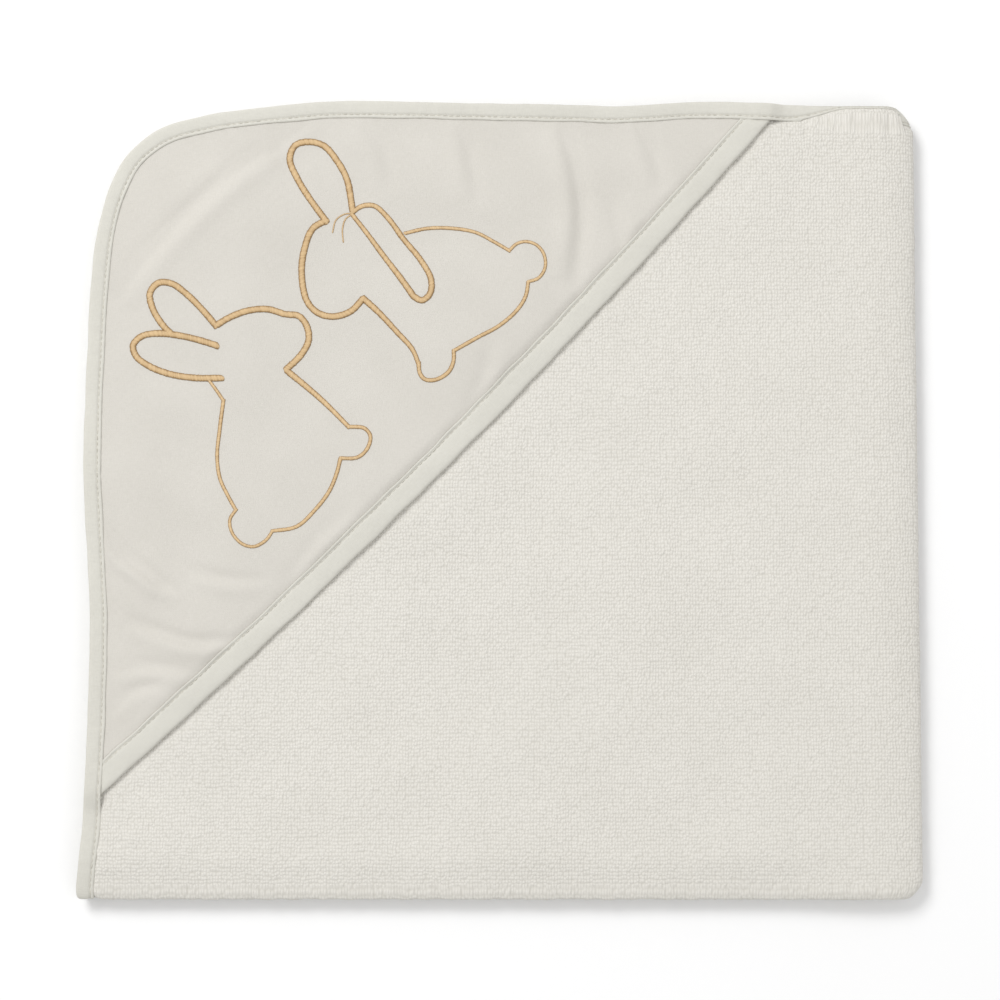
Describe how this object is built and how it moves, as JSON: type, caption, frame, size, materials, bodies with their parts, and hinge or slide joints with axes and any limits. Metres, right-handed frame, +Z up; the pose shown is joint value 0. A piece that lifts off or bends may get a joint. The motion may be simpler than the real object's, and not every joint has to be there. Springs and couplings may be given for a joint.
{
  "type": "hooded baby towel",
  "caption": "Square terry baby towel folded in quarters, bound edges, with a woven hood panel across one corner and rabbit outlines embroidered on it.",
  "frame": {"origin": "centre of the footprint, on the surface the towel lies on", "axes": "+X towards the right-hand fold, +Y towards the open top edge, +Z up; the hooded corner is at -X +Y"},
  "size_m": [0.378, 0.3608, 0.015],
  "materials": {
    "terry_cloth": "undyed cotton terry, fine loop columns, matt",
    "hood_cotton": "smooth plain weave cotton, matt",
    "binding_cotton": "bias cut plain weave cotton tape, matt",
    "seam_thread": "spun sewing thread",
    "gold_thread": "rayon embroidery thread, satin sheen",
    "stabiliser": "non-woven, matt"
  },
  "bodies": {
    "upper_half": {"corner_fold_terry": "terry_cloth", "hood_crease_binding": "binding_cotton", "hood_crease_terry": "terry_cloth", "hood_crease_topstitch": "seam_thread", "inner_side_fold_binding": "binding_cotton", "inner_side_fold_terry": "terry_cloth", "inner_side_fold_topstitch": "seam_thread", "outer_side_fold_binding": "binding_cotton", "outer_side_fold_terry": "terry_cloth", "outer_side_fold_topstitch": "seam_thread", "second_layer_binding": "binding_cotton", "second_layer_terry": "terry_cloth", "second_layer_topstitch": "seam_thread", "top_layer_binding": "binding_cotton", "top_layer_terry": "terry_cloth", "top_layer_topstitch": "seam_thread", "upper_bottom_fold_binding": "binding_cotton", "upper_bottom_fold_terry": "terry_cloth", "upper_bottom_fold_topstitch": "seam_thread"},
    "lower_half": {"bottom_layer_binding": "binding_cotton", "bottom_layer_terry": "terry_cloth", "bottom_layer_topstitch": "seam_thread", "lower_bottom_fold_binding": "binding_cotton", "lower_bottom_fold_terry": "terry_cloth", "lower_bottom_fold_topstitch": "seam_thread", "third_layer_binding": "binding_cotton", "third_layer_terry": "terry_cloth", "third_layer_topstitch": "seam_thread"},
    "hood_corner": {"embroidery_backing": "stabiliser", "hood_corner_binding": "binding_cotton", "hood_corner_terry": "terry_cloth", "hood_corner_topstitch": "seam_thread", "hood_edge_binding": "binding_cotton", "hood_edge_topstitch": "seam_thread", "hood_face_panel": "hood_cotton", "left_rabbit_embroidery": "gold_thread", "right_rabbit_embroidery": "gold_thread"}
  },
  "joints": [
    {"name": "side_fold", "type": "hinge", "parent": "upper_half", "child": "lower_half", "pos_m": [0.187, 0, 0.0065], "axis": [0, -1, 0], "range_deg": [0, 180], "deforming": ["corner_fold_terry", "inner_side_fold_binding", "inner_side_fold_terry", "inner_side_fold_topstitch", "outer_side_fold_binding", "outer_side_fold_terry", "outer_side_fold_topstitch"]},
    {"name": "hood_turn_back", "type": "hinge", "parent": "upper_half", "child": "hood_corner", "pos_m": [-0.01275, 0.01275, 0.0155], "axis": [0.7071, 0.7071, 0], "range_deg": [0, 180], "deforming": ["hood_crease_binding", "hood_crease_terry", "hood_crease_topstitch"]}
  ]
}
